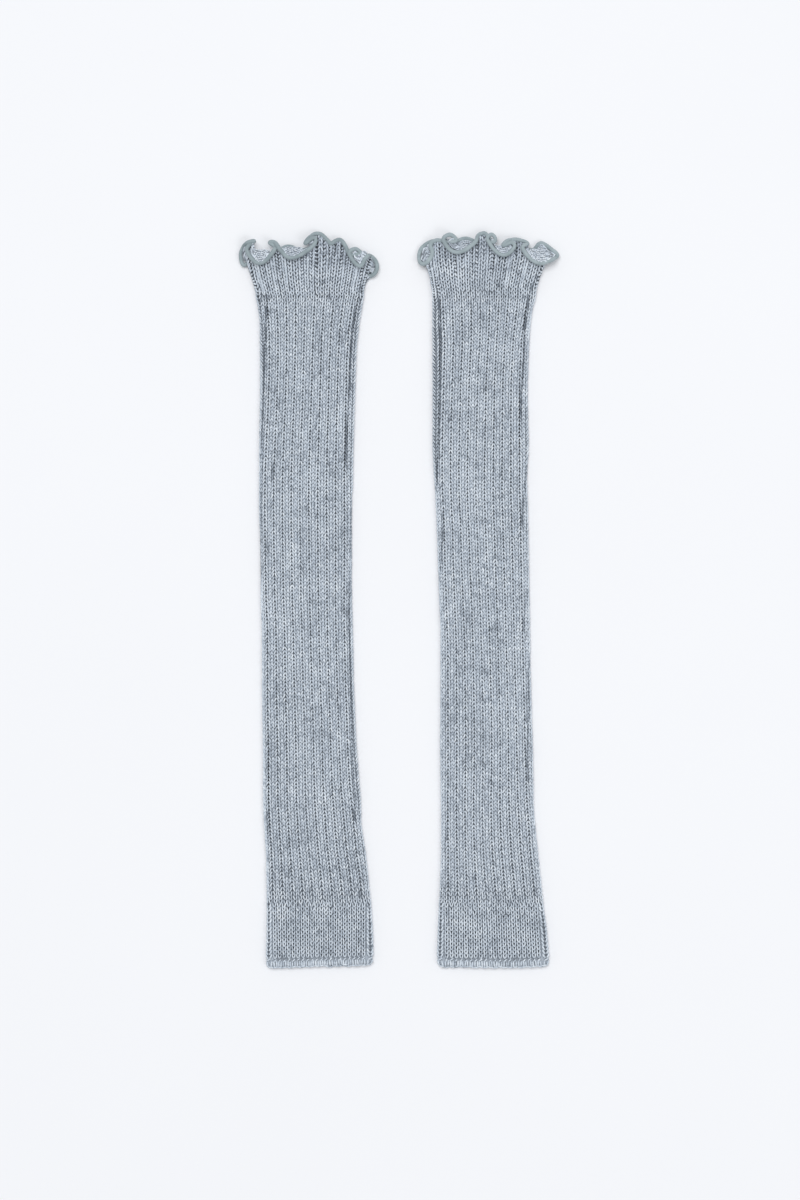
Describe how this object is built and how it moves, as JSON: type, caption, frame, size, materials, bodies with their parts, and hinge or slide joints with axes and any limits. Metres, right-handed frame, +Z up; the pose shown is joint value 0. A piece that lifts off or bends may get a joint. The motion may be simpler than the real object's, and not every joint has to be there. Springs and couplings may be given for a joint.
{
  "type": "pair of leg warmers",
  "caption": "Pair of ribbed knit leg warmers laid flat side by side, with a ruffled top edge bound by a thick overlocked roll.",
  "frame": {"origin": "on the surface the pair lies on, under the middle of the pair", "axes": "+X across the pair, +Y along the legs towards the ruffled tops, +Z up off the surface"},
  "size_m": [0.29, 0.6641, 0.0145],
  "materials": {
    "knit": "soft heathered rib knit",
    "edge_thread": "matt overlocked thread"
  },
  "bodies": {
    "root": {"left_leg": "knit", "left_ankle_cuff": "knit", "left_top_band": "knit", "left_edge_roll": "edge_thread", "right_leg": "knit", "right_ankle_cuff": "knit", "right_top_band": "knit", "right_edge_roll": "edge_thread"}
  },
  "joints": []
}
